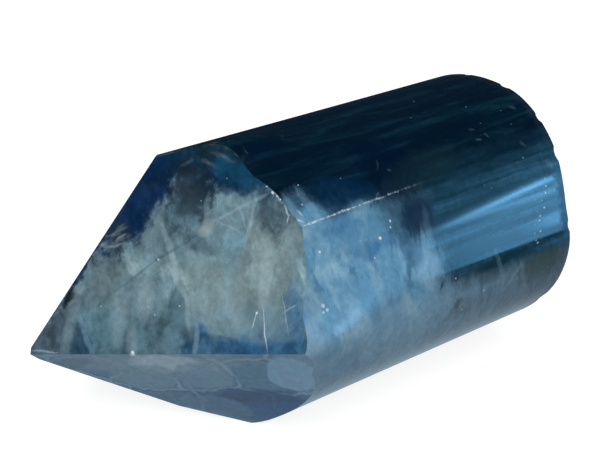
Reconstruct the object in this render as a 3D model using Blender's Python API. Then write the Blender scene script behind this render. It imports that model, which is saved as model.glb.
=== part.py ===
"""Agate point: one polished piece of banded blue agate, a nearly round column with a faceted end.

The stone lies on its side. The tip points to -X, the sawn base faces +X, and the origin is
under the middle of its box. Sizes are in metres, and an azimuth is measured round the column:
0 faces -Y, 90 faces up.
"""

import math

import bmesh
import bpy
from mathutils import Matrix, Vector

MM = 0.001

# The column, measured from its own axis. The tip is off that axis, as on most hand-cut points.
COLUMN_END = 84.0 * MM
SHOULDER_AT = 30.0 * MM
BASE_AT = 70.7 * MM
TIP = Vector((0.0, 5.4 * MM, -3.7 * MM))
SIDES = 80
STATION_STEP = 5.6 * MM

# Azimuth, then how far the polished skin is from the axis at the shoulder and at the base.
SECTION = (
    (-165.0, 20.7 * MM, 20.7 * MM),
    (-140.0, 19.9 * MM, 19.6 * MM),
    (-115.0, 19.0 * MM, 18.9 * MM),
    (-90.0, 18.3 * MM, 18.2 * MM),
    (-60.0, 19.4 * MM, 18.3 * MM),
    (-42.0, 19.2 * MM, 18.6 * MM),
    (-25.0, 19.6 * MM, 19.3 * MM),
    (-5.0, 20.8 * MM, 20.6 * MM),
    (12.0, 21.2 * MM, 21.15 * MM),
    (28.0, 20.95 * MM, 20.7 * MM),
    (52.0, 21.4 * MM, 21.8 * MM),
    (74.0, 21.7 * MM, 22.2 * MM),
    (91.0, 21.9 * MM, 21.7 * MM),
    (107.0, 21.7 * MM, 21.4 * MM),
    (135.0, 20.9 * MM, 21.2 * MM),
    (165.0, 21.0 * MM, 21.1 * MM),
)

# Two blunt corners stand out just behind the facets and soon fade into the column:
# azimuth, height, half width in degrees.
CORNERS = ((11.0, 1.35 * MM, 14.0), (91.0, 1.7 * MM, 16.0))
CORNER_END = 41.0 * MM

# One low crest runs back from the shoulder along the column and dies out before the base.
RIDGE_AZIMUTH = 52.0
RIDGE_DRIFT = 3.0
RIDGE_HEIGHT = 0.3 * MM
RIDGE_HALF_WIDTH = 6.0
RIDGE_END = 60.0 * MM

# The facets: azimuth of the normal, its angle from -X, and how far past the tip the cut stands.
# The under facet was ground twice, so it ends in a short second flat before the column.
FACETS = (
    ("front", 50.9, 48.6, 0.0),
    ("lower", -27.1, 52.5, 0.0),
    ("under", -66.6, 53.2, 0.5 * MM),
    ("under_second", -84.0, 68.8, 4.5 * MM),
    ("under_back", -118.0, 53.5, 0.5 * MM),
    ("back", -168.0, 52.0, 0.5 * MM),
    ("upper_back", 138.7, 52.5, 0.8 * MM),
)

# The sawn base leans a little: how far it falls back per unit across and per unit up.
BASE_LEAN_Y = -0.078
BASE_LEAN_Z = 0.121
REST_HEIGHT = -16.9 * MM

# Small shell-shaped chips knocked out of the base rim: azimuth, size of the bruise, depth.
RIM_CHIPS = (
    (121.0, 2.8 * MM, 0.20 * MM),
    (104.0, 2.0 * MM, 0.16 * MM),
    (84.0, 2.4 * MM, 0.20 * MM),
    (63.0, 2.0 * MM, 0.18 * MM),
    (47.0, 2.6 * MM, 0.24 * MM),
    (19.0, 2.0 * MM, 0.20 * MM),
    (-21.0, 3.0 * MM, 0.26 * MM),
    (-140.0, 3.2 * MM, 0.38 * MM),
    (168.0, 4.0 * MM, 0.42 * MM),
)
# Two more chips sit on the crest, each at a distance along the column.
CREST_CHIPS = ((33.0 * MM, 2.0 * MM, 0.22 * MM), (44.0 * MM, 1.6 * MM, 0.18 * MM))


def clear_scene():
    """An empty scene."""
    for obj in list(bpy.data.objects):
        bpy.data.objects.remove(obj, do_unlink=True)


def smooth_step(value):
    """0 below 0, 1 above 1 and an easy curve between."""
    value = min(max(value, 0.0), 1.0)
    return value * value * (3.0 - 2.0 * value)


def skin_radius(azimuth, column):
    """Distance of the skin from the axis, on a curve through one column of SECTION."""
    rows = len(SECTION)
    azimuth = (azimuth + 165.0) % 360.0 - 165.0
    index = max(i for i in range(rows) if SECTION[i][0] <= azimuth + 1e-9)

    def row(step):
        turn, place = divmod(index + step, rows)
        return SECTION[place][0] + 360.0 * turn, SECTION[place][column]

    (a0, r0), (a1, r1), (a2, r2), (a3, r3) = row(-1), row(0), row(1), row(2)
    part = (azimuth - a1) / (a2 - a1)
    slope1 = (r2 - r0) / (a2 - a0) * (a2 - a1)
    slope2 = (r3 - r1) / (a3 - a1) * (a2 - a1)
    p2, p3 = part * part, part * part * part
    return (
        (2 * p3 - 3 * p2 + 1) * r1
        + (p3 - 2 * p2 + part) * slope1
        + (3 * p2 - 2 * p3) * r2
        + (p3 - p2) * slope2
    )


def skin_point(turn, x):
    """A point of the column's skin, `turn` degrees on from the crest at this station."""
    along = (x - SHOULDER_AT) / (BASE_AT - SHOULDER_AT)
    azimuth = RIDGE_AZIMUTH + RIDGE_DRIFT * along + turn
    share = min(max(along, -0.4), 1.2)
    radius = skin_radius(azimuth, 1) * (1.0 - share) + skin_radius(azimuth, 2) * share
    near_facets = 1.0 - smooth_step((x - SHOULDER_AT) / (CORNER_END - SHOULDER_AT))
    for corner_azimuth, height, half_width in CORNERS:
        off_corner = abs((azimuth - corner_azimuth + 180.0) % 360.0 - 180.0) / half_width
        radius += height * near_facets * smooth_step(1.0 - off_corner)
    off_crest = abs((turn + 180.0) % 360.0 - 180.0)
    crest = max(0.0, 1.0 - off_crest / RIDGE_HALF_WIDTH)
    fade = 1.0 - smooth_step((x - SHOULDER_AT) / (RIDGE_END - SHOULDER_AT))
    radius += RIDGE_HEIGHT * crest * fade
    angle = math.radians(azimuth)
    return Vector((x, -radius * math.cos(angle), radius * math.sin(angle)))


def build_column():
    """The uncut column as a closed tube of rings."""
    mesh = bmesh.new()
    stations = []
    x = -6.0 * MM
    while x < COLUMN_END + STATION_STEP:
        stations.append(x)
        x += STATION_STEP
    rings = [
        [mesh.verts.new(skin_point(360.0 * i / SIDES, x)) for i in range(SIDES)]
        for x in stations
    ]
    for near, far in zip(rings, rings[1:]):
        for i in range(SIDES):
            j = (i + 1) % SIDES
            mesh.faces.new((near[i], far[i], far[j], near[j]))
    mesh.faces.new(list(rings[0]))
    mesh.faces.new(list(reversed(rings[-1])))
    bmesh.ops.recalc_face_normals(mesh, faces=mesh.faces[:])
    return mesh


def cut_flat(mesh, point, normal):
    """Grinds away all that stands out past a plane, and leaves one flat face there."""
    cut = bmesh.ops.bisect_plane(
        mesh,
        geom=mesh.verts[:] + mesh.edges[:] + mesh.faces[:],
        dist=1e-7,
        plane_co=point,
        plane_no=normal,
        clear_outer=True,
    )
    edges = [item for item in cut["geom_cut"] if isinstance(item, bmesh.types.BMEdge)]
    open_edges = [edge for edge in edges if edge.is_boundary]
    bmesh.ops.edgeloop_fill(mesh, edges=open_edges)
    bmesh.ops.recalc_face_normals(mesh, faces=mesh.faces[:])


def facet_normal(azimuth, lean):
    """The outward normal of a facet at the tip."""
    around, away = math.radians(azimuth), math.radians(lean)
    return Vector(
        (
            -math.cos(away),
            -math.sin(away) * math.cos(around),
            math.sin(away) * math.sin(around),
        )
    )


def cut_facets(mesh):
    """The faceted end, the sawn base and the flat it lies on."""
    for _name, azimuth, lean, past in FACETS:
        normal = facet_normal(azimuth, lean)
        cut_flat(mesh, TIP + normal * past, normal)
    base_normal = Vector((1.0, -BASE_LEAN_Y, -BASE_LEAN_Z)).normalized()
    cut_flat(mesh, Vector((BASE_AT, 0.0, 0.0)), base_normal)
    cut_flat(mesh, Vector((0.0, 0.0, REST_HEIGHT)), Vector((0.0, 0.0, -1.0)))


def base_x(y, z):
    """Where the leaning base stands at this height and side of the axis."""
    return BASE_AT + BASE_LEAN_Y * y + BASE_LEAN_Z * z


def add_chip(mesh, corner, outward, size, depth):
    """One ball of the chip cutter, set to bite `depth` into the stone at a corner."""
    middle = corner + outward.normalized() * (size - depth)
    ball = bmesh.ops.create_icosphere(mesh, subdivisions=2, radius=size)
    turn = Matrix.Rotation(middle.z * 900.0, 3, outward.normalized())
    for vert in ball["verts"]:
        vert.co = turn @ vert.co + middle


def chip_cutter():
    """All the chips as one hidden cutter."""
    mesh = bmesh.new()
    for azimuth, size, depth in RIM_CHIPS:
        turn = azimuth - RIDGE_AZIMUTH - RIDGE_DRIFT
        skin = skin_point(turn, BASE_AT)
        corner = Vector((base_x(skin.y, skin.z), skin.y, skin.z))
        outward = Vector((0.0, skin.y, skin.z)).normalized() + Vector((0.8, 0.0, 0.0))
        add_chip(mesh, corner, outward, size, depth)
    for x, size, depth in CREST_CHIPS:
        corner = skin_point(0.0, x)
        add_chip(mesh, corner, Vector((0.0, corner.y, corner.z)), size, depth)
    data = bpy.data.meshes.new("chips")
    mesh.to_mesh(data)
    mesh.free()
    cutter = bpy.data.objects.new("chips", data)
    cutter.hide_render = True
    bpy.context.collection.objects.link(cutter)
    return cutter


def stone_material():
    """Polished blue agate."""
    material = bpy.data.materials.new("blue_agate")
    material.use_nodes = True
    shader = material.node_tree.nodes["Principled BSDF"]
    shader.inputs["Base Color"].default_value = (0.10, 0.21, 0.33, 1.0)
    shader.inputs["Roughness"].default_value = 0.08
    shader.inputs["IOR"].default_value = 1.54
    return material


def main():
    clear_scene()
    mesh = build_column()
    cut_facets(mesh)
    bmesh.ops.dissolve_degenerate(mesh, dist=0.03 * MM, edges=mesh.edges[:])
    low = [min(v.co[axis] for v in mesh.verts) for axis in range(3)]
    high = [max(v.co[axis] for v in mesh.verts) for axis in range(3)]
    middle = Vector(((low[0] + high[0]) / 2, (low[1] + high[1]) / 2, low[2]))

    data = bpy.data.meshes.new("agate_point")
    mesh.to_mesh(data)
    mesh.free()
    stone = bpy.data.objects.new("agate_point", data)
    bpy.context.collection.objects.link(stone)
    stone.data.materials.append(stone_material())

    cutter = chip_cutter()
    for obj in (stone, cutter):
        obj.location = -middle
    chips = stone.modifiers.new("chips", "BOOLEAN")
    chips.operation = "DIFFERENCE"
    chips.solver = "EXACT"
    chips.object = cutter


main()
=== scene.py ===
"""Agate point: one polished piece of banded blue agate, lying on its side on a pale floor."""

import math

import bmesh
import bpy
from mathutils import Matrix, Vector


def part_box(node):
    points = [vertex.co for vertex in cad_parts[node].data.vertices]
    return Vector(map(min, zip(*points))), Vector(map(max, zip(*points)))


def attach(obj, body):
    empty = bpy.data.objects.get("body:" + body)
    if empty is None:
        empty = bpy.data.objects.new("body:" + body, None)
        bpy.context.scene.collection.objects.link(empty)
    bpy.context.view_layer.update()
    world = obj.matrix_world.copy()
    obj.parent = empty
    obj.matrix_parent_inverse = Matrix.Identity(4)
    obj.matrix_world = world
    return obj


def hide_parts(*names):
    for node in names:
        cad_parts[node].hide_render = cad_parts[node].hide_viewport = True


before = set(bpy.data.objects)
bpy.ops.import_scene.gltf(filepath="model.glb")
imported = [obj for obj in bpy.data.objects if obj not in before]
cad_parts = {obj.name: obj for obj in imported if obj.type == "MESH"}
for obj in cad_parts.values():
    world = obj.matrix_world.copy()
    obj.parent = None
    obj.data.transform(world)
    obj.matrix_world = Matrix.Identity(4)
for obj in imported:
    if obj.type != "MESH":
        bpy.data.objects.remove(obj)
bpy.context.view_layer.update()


# ---- The agate point: its shape -------------------------------------------------------------
# One piece of agate, sawn to length, ground to a nearly round column and then cut to a point
# by seven flat facets. Everything is polished; only the rim of the base has small chips.

MM = 0.001

COLUMN_START = -6.0 * MM
COLUMN_END = 84.0 * MM
SHOULDER_AT = 30.0 * MM
BASE_AT = 70.7 * MM
TIP = Vector((0.0, 5.4 * MM, -3.7 * MM))
SIDES = 360
STATION_STEP = 0.9 * MM
POLISH_LOSS = 0.05 * MM
CRUMBS = 0.02 * MM
SHARP_EDGE = 14.0

# Azimuth round the column (0 faces -Y, 90 faces up), then the distance of the polished skin
# from the axis at the shoulder and at the base.
SECTION = (
    (-165.0, 20.7 * MM, 20.7 * MM),
    (-140.0, 19.9 * MM, 19.6 * MM),
    (-115.0, 19.0 * MM, 18.9 * MM),
    (-90.0, 18.3 * MM, 18.2 * MM),
    (-60.0, 19.4 * MM, 18.3 * MM),
    (-42.0, 19.2 * MM, 18.6 * MM),
    (-25.0, 19.6 * MM, 19.3 * MM),
    (-5.0, 20.8 * MM, 20.6 * MM),
    (12.0, 21.2 * MM, 21.15 * MM),
    (28.0, 20.95 * MM, 20.7 * MM),
    (52.0, 21.4 * MM, 21.8 * MM),
    (74.0, 21.7 * MM, 22.2 * MM),
    (91.0, 21.9 * MM, 21.7 * MM),
    (107.0, 21.7 * MM, 21.4 * MM),
    (135.0, 20.9 * MM, 21.2 * MM),
    (165.0, 21.0 * MM, 21.1 * MM),
)

# Two blunt corners behind the facets: azimuth, height, half width in degrees.
CORNERS = ((11.0, 1.35 * MM, 14.0), (91.0, 1.7 * MM, 16.0))
CORNER_END = 41.0 * MM

# The low crest that runs back from the shoulder and dies out before the base.
RIDGE_AZIMUTH = 52.0
RIDGE_DRIFT = 3.0
RIDGE_HEIGHT = 0.3 * MM
RIDGE_HALF_WIDTH = 6.0
RIDGE_END = 60.0 * MM

# The facets: azimuth of the normal, its angle from -X, and how far past the tip the cut stands.
FACETS = (
    ("front", 50.9, 48.6, 0.0),
    ("lower", -27.1, 52.5, 0.0),
    ("under", -66.6, 53.2, 0.5 * MM),
    ("under_second", -84.0, 68.8, 4.5 * MM),
    ("under_back", -118.0, 53.5, 0.5 * MM),
    ("back", -168.0, 52.0, 0.5 * MM),
    ("upper_back", 138.7, 52.5, 0.8 * MM),
)

BASE_LEAN_Y = -0.078
BASE_LEAN_Z = 0.121
REST_HEIGHT = -16.9 * MM

# Shell-shaped chips in the rim of the base, azimuth, size and depth, and two on the crest.
RIM_CHIPS = (
    (121.0, 2.8 * MM, 0.20 * MM),
    (104.0, 2.0 * MM, 0.16 * MM),
    (84.0, 2.4 * MM, 0.20 * MM),
    (63.0, 2.0 * MM, 0.18 * MM),
    (47.0, 2.6 * MM, 0.24 * MM),
    (19.0, 2.0 * MM, 0.20 * MM),
    (-21.0, 3.0 * MM, 0.26 * MM),
    (-140.0, 3.2 * MM, 0.38 * MM),
    (168.0, 4.0 * MM, 0.42 * MM),
)
CREST_CHIPS = ((33.0 * MM, 2.0 * MM, 0.22 * MM), (44.0 * MM, 1.6 * MM, 0.18 * MM))
CHIP_LEAN = Vector((0.8, 0.0, 0.0))
CHIP_ROUNDNESS = 5


def smooth_step(value):
    """0 below 0, 1 above 1 and an easy curve between."""
    value = min(max(value, 0.0), 1.0)
    return value * value * (3.0 - 2.0 * value)


def skin_radius(azimuth, column):
    """Distance of the skin from the axis, on a curve through one column of SECTION."""
    rows = len(SECTION)
    azimuth = (azimuth + 165.0) % 360.0 - 165.0
    index = max(i for i in range(rows) if SECTION[i][0] <= azimuth + 1e-9)

    def row(step):
        turn, place = divmod(index + step, rows)
        return SECTION[place][0] + 360.0 * turn, SECTION[place][column]

    (a0, r0), (a1, r1), (a2, r2), (a3, r3) = row(-1), row(0), row(1), row(2)
    part = (azimuth - a1) / (a2 - a1)
    slope1 = (r2 - r0) / (a2 - a0) * (a2 - a1)
    slope2 = (r3 - r1) / (a3 - a1) * (a2 - a1)
    p2, p3 = part * part, part * part * part
    return (
        (2 * p3 - 3 * p2 + 1) * r1
        + (p3 - 2 * p2 + part) * slope1
        + (3 * p2 - 2 * p3) * r2
        + (p3 - p2) * slope2
    )


def skin_point(turn, x):
    """A point of the column's skin, `turn` degrees on from the crest at this station."""
    along = (x - SHOULDER_AT) / (BASE_AT - SHOULDER_AT)
    azimuth = RIDGE_AZIMUTH + RIDGE_DRIFT * along + turn
    share = min(max(along, -0.4), 1.2)
    radius = skin_radius(azimuth, 1) * (1.0 - share) + skin_radius(azimuth, 2) * share
    near_facets = 1.0 - smooth_step((x - SHOULDER_AT) / (CORNER_END - SHOULDER_AT))
    for corner_azimuth, height, half_width in CORNERS:
        off_corner = abs((azimuth - corner_azimuth + 180.0) % 360.0 - 180.0) / half_width
        radius += height * near_facets * smooth_step(1.0 - off_corner)
    off_crest = abs((turn + 180.0) % 360.0 - 180.0)
    crest = max(0.0, 1.0 - off_crest / RIDGE_HALF_WIDTH)
    fade = 1.0 - smooth_step((x - SHOULDER_AT) / (RIDGE_END - SHOULDER_AT))
    radius += RIDGE_HEIGHT * crest * fade - POLISH_LOSS
    angle = math.radians(azimuth)
    return Vector((x, -radius * math.cos(angle), radius * math.sin(angle)))


def turn_column():
    """The uncut column as a closed tube of rings."""
    mesh = bmesh.new()
    stations = []
    x = COLUMN_START
    while x < COLUMN_END + STATION_STEP:
        stations.append(x)
        x += STATION_STEP
    rings = [
        [mesh.verts.new(skin_point(360.0 * i / SIDES, x)) for i in range(SIDES)]
        for x in stations
    ]
    for near, far in zip(rings, rings[1:]):
        for i in range(SIDES):
            j = (i + 1) % SIDES
            mesh.faces.new((near[i], far[i], far[j], near[j]))
    mesh.faces.new(list(rings[0]))
    mesh.faces.new(list(reversed(rings[-1])))
    bmesh.ops.recalc_face_normals(mesh, faces=mesh.faces[:])
    return mesh


def grind_flat(mesh, point, normal):
    """Grinds away all that stands out past a plane, and leaves one flat face there."""
    cut = bmesh.ops.bisect_plane(
        mesh,
        geom=mesh.verts[:] + mesh.edges[:] + mesh.faces[:],
        dist=1e-7,
        plane_co=point,
        plane_no=normal,
        clear_outer=True,
    )
    edges = [item for item in cut["geom_cut"] if isinstance(item, bmesh.types.BMEdge)]
    open_edges = [edge for edge in edges if edge.is_boundary]
    bmesh.ops.edgeloop_fill(mesh, edges=open_edges)
    bmesh.ops.recalc_face_normals(mesh, faces=mesh.faces[:])


def facet_normal(azimuth, lean):
    """The outward normal of a facet at the tip."""
    around, away = math.radians(azimuth), math.radians(lean)
    return Vector(
        (
            -math.cos(away),
            -math.sin(away) * math.cos(around),
            math.sin(away) * math.sin(around),
        )
    )


def base_x(y, z):
    """Where the leaning base stands at this height and side of the axis."""
    return BASE_AT + BASE_LEAN_Y * y + BASE_LEAN_Z * z


bruises = []


def add_bruise(mesh, corner, outward, size, depth):
    """One ball of the chip cutter, set to bite `depth` into the stone at a corner."""
    middle = corner + outward.normalized() * (size - depth)
    ball = bmesh.ops.create_icosphere(mesh, subdivisions=CHIP_ROUNDNESS, radius=size)
    for vert in ball["verts"]:
        vert.co += middle
    bruises.append((middle, size))


def chip_cutter():
    """All the chips as one hidden cutter."""
    mesh = bmesh.new()
    for azimuth, size, depth in RIM_CHIPS:
        turn = azimuth - RIDGE_AZIMUTH - RIDGE_DRIFT
        skin = skin_point(turn, BASE_AT)
        corner = Vector((base_x(skin.y, skin.z), skin.y, skin.z))
        outward = Vector((0.0, skin.y, skin.z)).normalized() + CHIP_LEAN
        add_bruise(mesh, corner, outward, size, depth)
    for x, size, depth in CREST_CHIPS:
        corner = skin_point(0.0, x)
        add_bruise(mesh, corner, Vector((0.0, corner.y, corner.z)), size, depth)
    data = bpy.data.meshes.new("chips")
    mesh.to_mesh(data)
    mesh.free()
    cutter = bpy.data.objects.new("chips", data)
    bpy.context.collection.objects.link(cutter)
    return cutter


rough_stone = turn_column()
for _name, azimuth, lean, past in FACETS:
    normal = facet_normal(azimuth, lean)
    grind_flat(rough_stone, TIP + normal * past, normal)
base_normal = Vector((1.0, -BASE_LEAN_Y, -BASE_LEAN_Z)).normalized()
grind_flat(rough_stone, Vector((BASE_AT, 0.0, 0.0)), base_normal)
grind_flat(rough_stone, Vector((0.0, 0.0, REST_HEIGHT)), Vector((0.0, 0.0, -1.0)))
bmesh.ops.dissolve_degenerate(rough_stone, dist=CRUMBS, edges=rough_stone.edges[:])

# The column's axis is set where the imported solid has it: its box decides the place.
low = [min(v.co[axis] for v in rough_stone.verts) for axis in range(3)]
high = [max(v.co[axis] for v in rough_stone.verts) for axis in range(3)]
solid_low, solid_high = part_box("agate_point")
axis_at = Vector(
    (
        (solid_low.x + solid_high.x) / 2 - (low[0] + high[0]) / 2,
        (solid_low.y + solid_high.y) / 2 - (low[1] + high[1]) / 2,
        solid_low.z - low[2],
    )
)

stone_mesh = bpy.data.meshes.new("polished_point")
rough_stone.to_mesh(stone_mesh)
rough_stone.free()
stone = bpy.data.objects.new("polished_point", stone_mesh)
bpy.context.collection.objects.link(stone)
chips = chip_cutter()
biting = stone.modifiers.new("chips", "BOOLEAN")
biting.operation = "DIFFERENCE"
biting.solver = "EXACT"
biting.object = chips
bpy.context.view_layer.update()
finished_stone = stone.evaluated_get(bpy.context.evaluated_depsgraph_get())
chipped_mesh = bpy.data.meshes.new_from_object(finished_stone)
stone.modifiers.clear()
stone.data = chipped_mesh
bpy.data.objects.remove(chips)
stone.data.transform(Matrix.Translation(axis_at))
stone.data.shade_smooth()
stone.data.set_sharp_from_angle(angle=math.radians(SHARP_EDGE))


# ---- The agate point: its colour and polish -------------------------------------------------
# Clear dark blue agate with milky clouds, fibrous veils, healed cracks and tiny bubbles in it.
# It is cut and polished, so the marks are drawn flat on its faces, under the gloss.

agate = bpy.data.materials.new("blue_agate_polish")
agate.use_nodes = True
tree = agate.node_tree
polish = tree.nodes["Principled BSDF"]


def node(kind, feeds, on=tree, **settings):
    """One node, of the stone's finish or another; `feeds` are numbers, colours or sockets."""
    made = on.nodes.new(kind)
    for name, value in settings.items():
        setattr(made, name, value)
    for place, source in feeds.items():
        if isinstance(source, bpy.types.NodeSocket):
            on.links.new(source, made.inputs[place])
        else:
            made.inputs[place].default_value = source
    return made


def calc(operation, first, second=0.0, third=0.0, on=tree):
    """Arithmetic on values."""
    made = node("ShaderNodeMath", {0: first, 1: second, 2: third}, on, operation=operation)
    return made.outputs[0]


def times(first, second, on=tree):
    """The product of two values."""
    return calc("MULTIPLY", first, second, on=on)


def vector(operation, first, second=(0.0, 0.0, 0.0)):
    """Arithmetic on two vectors."""
    made = node("ShaderNodeVectorMath", {0: first, 1: second}, operation=operation)
    return made.outputs["Vector"]


def along(direction, at):
    """How far `at` lies along a direction."""
    made = node("ShaderNodeVectorMath", {0: at, 1: tuple(direction)}, operation="DOT_PRODUCT")
    return made.outputs["Value"]


def split(at, on=tree):
    """The three numbers of a place."""
    return node("ShaderNodeSeparateXYZ", {0: at}, on).outputs


def fade(value, start, end, low=0.0, high=1.0, on=tree):
    """Eases from `low` to `high` as the value goes from `start` to `end`."""
    feeds = {"Value": value, "From Min": start, "From Max": end, "To Min": low, "To Max": high}
    made = node("ShaderNodeMapRange", feeds, on, interpolation_type="SMOOTHSTEP")
    return made.outputs["Result"]


def lay(mask, under, over):
    """Lays one tone over another where the mask says."""
    return node("ShaderNodeMix", {0: mask, 6: under, 7: over}, data_type="RGBA").outputs[2]


def relit(colour, light):
    """A tone made lighter or darker."""
    return node("ShaderNodeHueSaturation", {"Value": light, "Color": colour}).outputs[0]


def stretched(at, sizes, turn=0.0):
    """Places measured in grains of the given sizes, turned in the face by some degrees."""
    feeds = {"Vector": at, "Rotation": (0.0, 0.0, math.radians(turn)), "Scale": sizes}
    return node("ShaderNodeMapping", feeds, vector_type="TEXTURE").outputs[0]


def cloud(at, detail=3.0, roughness=0.55, twist=0.0):
    """Cloudy variation between 0 and 1, one grain across per unit."""
    grain = {"Vector": at, "Scale": 1.0, "Detail": detail, "Roughness": roughness}
    return node("ShaderNodeTexNoise", {**grain, "Distortion": twist}).outputs["Fac"]


def wander(at, size, amount):
    """A shift to and fro, so that what is drawn at shifted places gets a natural edge."""
    made = node("ShaderNodeTexNoise", {"Vector": at, "Scale": 1.0 / size, "Detail": 2.0})
    centred = vector("SUBTRACT", made.outputs["Color"], (0.5, 0.5, 0.5))
    return vector("MULTIPLY", centred, (amount, amount, amount))


def spot(at, middle, half, turn, soft, ragged=None):
    """1 inside an oval of a chart and 0 outside it; its edge is soft, or ragged too."""
    (x, y), (length, width) = middle, half
    cos, sin = math.cos(math.radians(turn)), math.sin(math.radians(turn))
    run = along((cos / length, sin / length, -(x * cos + y * sin) / length), at)
    rise = along((-sin / width, cos / width, (x * sin - y * cos) / width), at)
    away = calc("MULTIPLY_ADD", run, run, times(rise, rise))
    if ragged is not None:
        away = calc("ADD", away, ragged)
    return fade(away, (1.0 + soft) ** 2, (1.0 - soft) ** 2)


def tone(red, green, blue):
    """A colour of the stone."""
    return (red, green, blue, 1.0)


def paint(colour, at, marks, ragged=None):
    """Lays a list of ovals on a colour: middle, half sizes, turn, softness, strength, tone."""
    for middle, half, turn, soft, strength, shade in marks:
        mask = times(spot(at, middle, half, turn, soft, ragged), strength)
        colour = lay(mask, colour, shade)
    return colour


def draw(colour, at, lines, ragged=None):
    """Lays a list of tapering lines on a colour: start, end, half width, strength, tone."""
    for start, end, half_width, strength, shade in lines:
        run, rise = end[0] - start[0], end[1] - start[1]
        middle = ((start[0] + end[0]) / 2, (start[1] + end[1]) / 2)
        half = (math.hypot(run, rise) / 2, half_width)
        line = spot(at, middle, half, math.degrees(math.atan2(rise, run)), 0.95, ragged)
        colour = lay(times(line, strength), colour, shade)
    return colour


def dot_row(colour, at, dots):
    """Lays small bright dots on a colour, for specks, bubbles and painted glints: middle, radius,
    strength.
    """
    for middle, radius, strength in dots:
        mask = times(spot(at, middle, (radius, radius), 0.0, 0.7), strength)
        colour = lay(mask, colour, WHITE)
    return colour


# The clear stone, from navy to teal, and the milk in it, from smoke to near white; the near white
# also paints glints.
NAVY = tone(0.006, 0.035, 0.105)
INK = tone(0.0010, 0.0120, 0.0300)
DEEP_TEAL = tone(0.0080, 0.0480, 0.0800)
STEEL = tone(0.0300, 0.1150, 0.2000)
VIVID_BLUE = tone(0.025, 0.120, 0.290)
MID_BLUE = tone(0.035, 0.100, 0.180)
SKY = tone(0.112, 0.275, 0.415)
SKY_PALE = tone(0.255, 0.420, 0.530)
FIBRE_DARK = tone(0.078, 0.170, 0.255)
FIBRE_GREY = tone(0.140, 0.270, 0.380)
FIBRE_PALE = tone(0.190, 0.335, 0.440)
GREEN_GREY = tone(0.195, 0.320, 0.350)
WARM_GREY = tone(0.260, 0.345, 0.350)
TEAL_GREY = tone(0.085, 0.180, 0.225)
PALE = tone(0.360, 0.480, 0.510)
WHITE = tone(0.75, 0.82, 0.85)
SMOKE = tone(0.016, 0.034, 0.060)
SLATE = tone(0.135, 0.270, 0.380)
SLATE_DARK = tone(0.075, 0.180, 0.295)
SLATE_PALE = tone(0.300, 0.460, 0.560)
INDIGO = tone(0.003, 0.075, 0.230)
OLIVE = tone(0.030, 0.075, 0.078)
NEAR_BLACK = tone(0.006, 0.007, 0.010)

# Places in the stone in millimetres: as they are, a little unsteady, and loose.
texture_place = tree.nodes.new("ShaderNodeTexCoord")
solid_mm = vector("MULTIPLY", texture_place.outputs["Object"], (1.0 / MM,) * 3)
facing = texture_place.outputs["Normal"]
taut_mm = vector("ADD", solid_mm, wander(solid_mm, 2.5, 0.8))
sway = vector("ADD", wander(solid_mm, 4.5, 3.0), wander(solid_mm, 1.1, 1.0))
loose_mm = vector("ADD", solid_mm, sway)

# Flat charts of them. On the two large facets: along their common edge from the tip, and away
# from that edge. On the column: along the axis, and round the skin from azimuth 0. The third
# number is 1, or drifts close to it, so that a dot product with a chart can also shift.
tip_mm = (axis_at + TIP) / MM
axis_mm = axis_at / MM
SKIN_RADIUS_MM = 21.0
facet_normals = {name: facet_normal(azimuth, lean) for name, azimuth, lean, _past in FACETS}
front_normal, lower_normal = facet_normals["front"], facet_normals["lower"]
edge_run = front_normal.cross(lower_normal).normalized()
front_up = front_normal.cross(edge_run).normalized()
lower_down = edge_run.cross(lower_normal).normalized()


def facet_chart(at, away_from_edge, third=1.0):
    """Places on a facet, from the tip."""
    from_tip = vector("SUBTRACT", at, tuple(tip_mm))
    feeds = {0: along(edge_run, from_tip), 1: along(away_from_edge, from_tip), 2: third}
    return node("ShaderNodeCombineXYZ", feeds).outputs[0]


def skin_chart(at, third=1.0):
    """Places on the column's skin, along the axis and round it."""
    from_axis = vector("SUBTRACT", at, (0.0, axis_mm.y, axis_mm.z))
    run, across, up = split(from_axis)
    from_top = calc("ARCTAN2", times(across, -1.0), up)
    arc = times(calc("SUBTRACT", math.pi / 2, from_top), SKIN_RADIUS_MM)
    return node("ShaderNodeCombineXYZ", {0: run, 1: arc, 2: third}).outputs[0]


# Veils and fibres stand roughly upright, across the length of the stone. Each grain is how
# far its pattern runs in millimetres along, across and up, or along and across a chart.
FIBRE_GRAIN = (1.5, 4.5, 6.0)
FINE_GRAIN = (0.45, 1.8, 2.4)
MOTTLE_GRAIN = (0.8, 0.8, 1.1)
fibres = cloud(stretched(loose_mm, FIBRE_GRAIN), 4.0, 0.6)
fine_fibres = cloud(stretched(taut_mm, FINE_GRAIN), 3.0, 0.65)
mottle = cloud(stretched(solid_mm, MOTTLE_GRAIN), 5.0, 0.68)
ragged = calc("MULTIPLY_ADD", calc("ADD", fibres, fine_fibres), 1.5, -1.5)
drift = fade(ragged, -1.5, 1.5, 0.995, 1.005)

# The body of the stone: clear above and behind, fibrous grey below and in front.
BAND_GRAIN = (11.0, 2.0, 1.3)
BACK_GRAIN = (15.0, 9.0, 7.0)
VEIL_GRAIN = (4.0, 5.0, 6.5)
REAR_SMOKE = tone(0.035, 0.070, 0.105)
solid_run, solid_across, solid_up = split(solid_mm)
body_height = calc("ADD", solid_up, times(solid_across, 0.25))
low_cloud = fade(calc("ADD", body_height, times(fibres, 14.0)), 30.0, 21.0)
long_bands = cloud(stretched(solid_mm, BAND_GRAIN), 4.0, 0.62, 0.5)
clear_zone = lay(fade(long_bands, 0.42, 0.86), INK, DEEP_TEAL)
fibre_zone = lay(fade(fibres, 0.30, 0.60), FIBRE_DARK, FIBRE_GREY)
fibre_zone = lay(fade(fibres, 0.58, 0.74, 0.0, 0.6), fibre_zone, FIBRE_PALE)
fibre_zone = lay(fade(fine_fibres, 0.50, 0.72, 0.0, 0.50), fibre_zone, FIBRE_PALE)
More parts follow.
